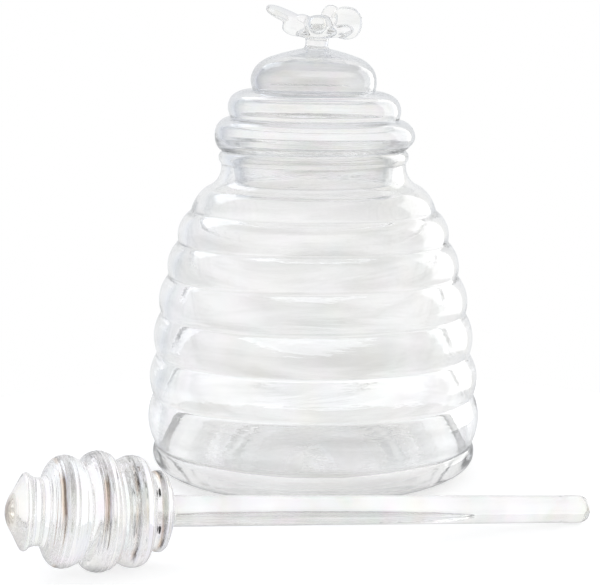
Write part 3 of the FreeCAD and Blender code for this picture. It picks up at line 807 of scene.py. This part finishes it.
def panel_group():
    """How much of a soft-edged panel lies in a direction: 1 inside, 0 outside.

    Bearing is degrees round from the front (-Y) towards the right (+X); height is
    degrees above the horizon.
    """
    g, given, out = new_group("panel", (
        ("Bearing", FLOAT, 0.0), ("Half width", FLOAT, 30.0), ("Height", FLOAT, 0.0),
        ("Half height", FLOAT, 30.0), ("Edge across", FLOAT, 5.0), ("Edge up", FLOAT, 5.0),
    ), (("Share", FLOAT),))
    direction = new_node(g, "TexCoord").outputs["Generated"]
    x, y, z = new_node(g, "SeparateXYZ", {0: direction}).outputs
    bearing = maths(g, "DEGREES", maths(g, "ARCTAN2", x, maths(g, "MULTIPLY", y, -1.0)))
    height = maths(g, "DEGREES", maths(g, "ARCSINE", z))
    turned_off = maths(g, "WRAP", maths(g, "SUBTRACT", bearing, given["Bearing"]), 180.0, -180.0)
    raised_off = maths(g, "SUBTRACT", height, given["Height"])
    shares = []
    for off, half, edge in ((turned_off, "Half width", "Edge across"),
                            (raised_off, "Half height", "Edge up")):
        within = maths(g, "SUBTRACT", given[half], maths(g, "ABSOLUTE", off))
        shares.append(faded(g, within, maths(g, "MULTIPLY", given[edge], -0.5),
                            maths(g, "MULTIPLY", given[edge], 0.5)))
    feed(g, out["Share"], maths(g, "MULTIPLY", *shares))
    return g


# Bearing, half width, height, half height, soft edge across and up, then the light from there as
# (red, green, blue): as the surface shows it, and as it comes through the glass.
ROOM = [
    ("front_half", 0.0, 108.0, 0.0, 100.0, 30.0, 30.0, (0.95, 0.95, 0.96), (0.95, 0.95, 0.95)),
    ("left_side", -112.0, 34.0, 0.0, 60.0, 30.0, 30.0, (0.62, 0.67, 0.75), (0.84, 0.87, 0.92)),
    ("right_side", 112.0, 34.0, 0.0, 60.0, 30.0, 30.0, (0.85, 0.84, 0.8), (0.92, 0.91, 0.88)),
    ("ceiling", 0.0, 400.0, 90.0, 38.0, 20.0, 20.0, (0.55, 0.57, 0.6), (0.82, 0.83, 0.85)),
    ("front", 12.5, 38.0, -8.0, 16.0, 40.0, 14.0, (0.0, 0.0, 0.0), (0.34, 0.335, 0.33)),
    ("lamp_right", 125.0, 19.0, 12.0, 24.0, 6.0, 6.0, (3.0, 3.0, 2.95), (1.0, 1.0, 1.0)),
    ("lamp_left", -130.0, 14.0, 42.0, 13.0, 6.0, 6.0, (2.8, 2.95, 3.2), (1.0, 1.0, 1.0)),
]
BACK_ON_SURFACE, BACK_THROUGH = (0.86, 0.87, 0.88), (1, 1, 1)


def room():
    """The light all round: each panel laid over the last, and plain white straight to the camera."""
    world = bpy.data.worlds.new("room")
    bpy.context.scene.world = world
    world.use_nodes = True
    t = world.node_tree
    group = panel_group()
    on_surface, through = BACK_ON_SURFACE, BACK_THROUGH
    for name, *shape, surface_light, inside_light in ROOM:
        panel = new_node(t, "Group", node_tree=group, label=name)
        for socket, value in zip(panel.inputs, shape):
            socket.default_value = value
        share = panel.outputs["Share"]
        on_surface = mixed(t, share, on_surface, surface_light)
        through = mixed(t, share, through, inside_light)
    path = new_node(t, "LightPath").outputs
    light = mixed(t, path["Is Transmission Ray"], on_surface, through)
    light = mixed(t, path["Is Camera Ray"], light, (1, 1, 1))
    feed(t, t.nodes["Background"].inputs["Color"], light)


CAMERA_PLACE = (0.0, -0.5687, 0.1392)
CAMERA_DOWN, CAMERA_LEFT = math.radians(8.23), math.radians(0.42)
LENS = 109.76
# Light goes many times to and fro in the heel and the lid's rings before it gets out.
BOUNCES = 80


def camera_and_view():
    """A long lens a little above the table, plain view colours, and bounces enough for thick glass."""
    data = bpy.data.cameras.new("camera")
    data.lens = LENS
    data.sensor_width = 36.0
    data.clip_start = 0.01
    camera = placed("camera", data)
    camera.location = CAMERA_PLACE
    camera.rotation_euler = (math.radians(90) - CAMERA_DOWN, 0, CAMERA_LEFT)
    scene = bpy.context.scene
    scene.camera = camera
    scene.view_settings.view_transform = "Standard"
    scene.cycles.max_bounces = BOUNCES
    scene.cycles.transmission_bounces = BOUNCES
    scene.cycles.glossy_bounces = BOUNCES


make_jar()
make_lid()
make_dipper()
plane = placed("floor", table_top())
plane.data.materials.append(white_table())
room()
camera_and_view()
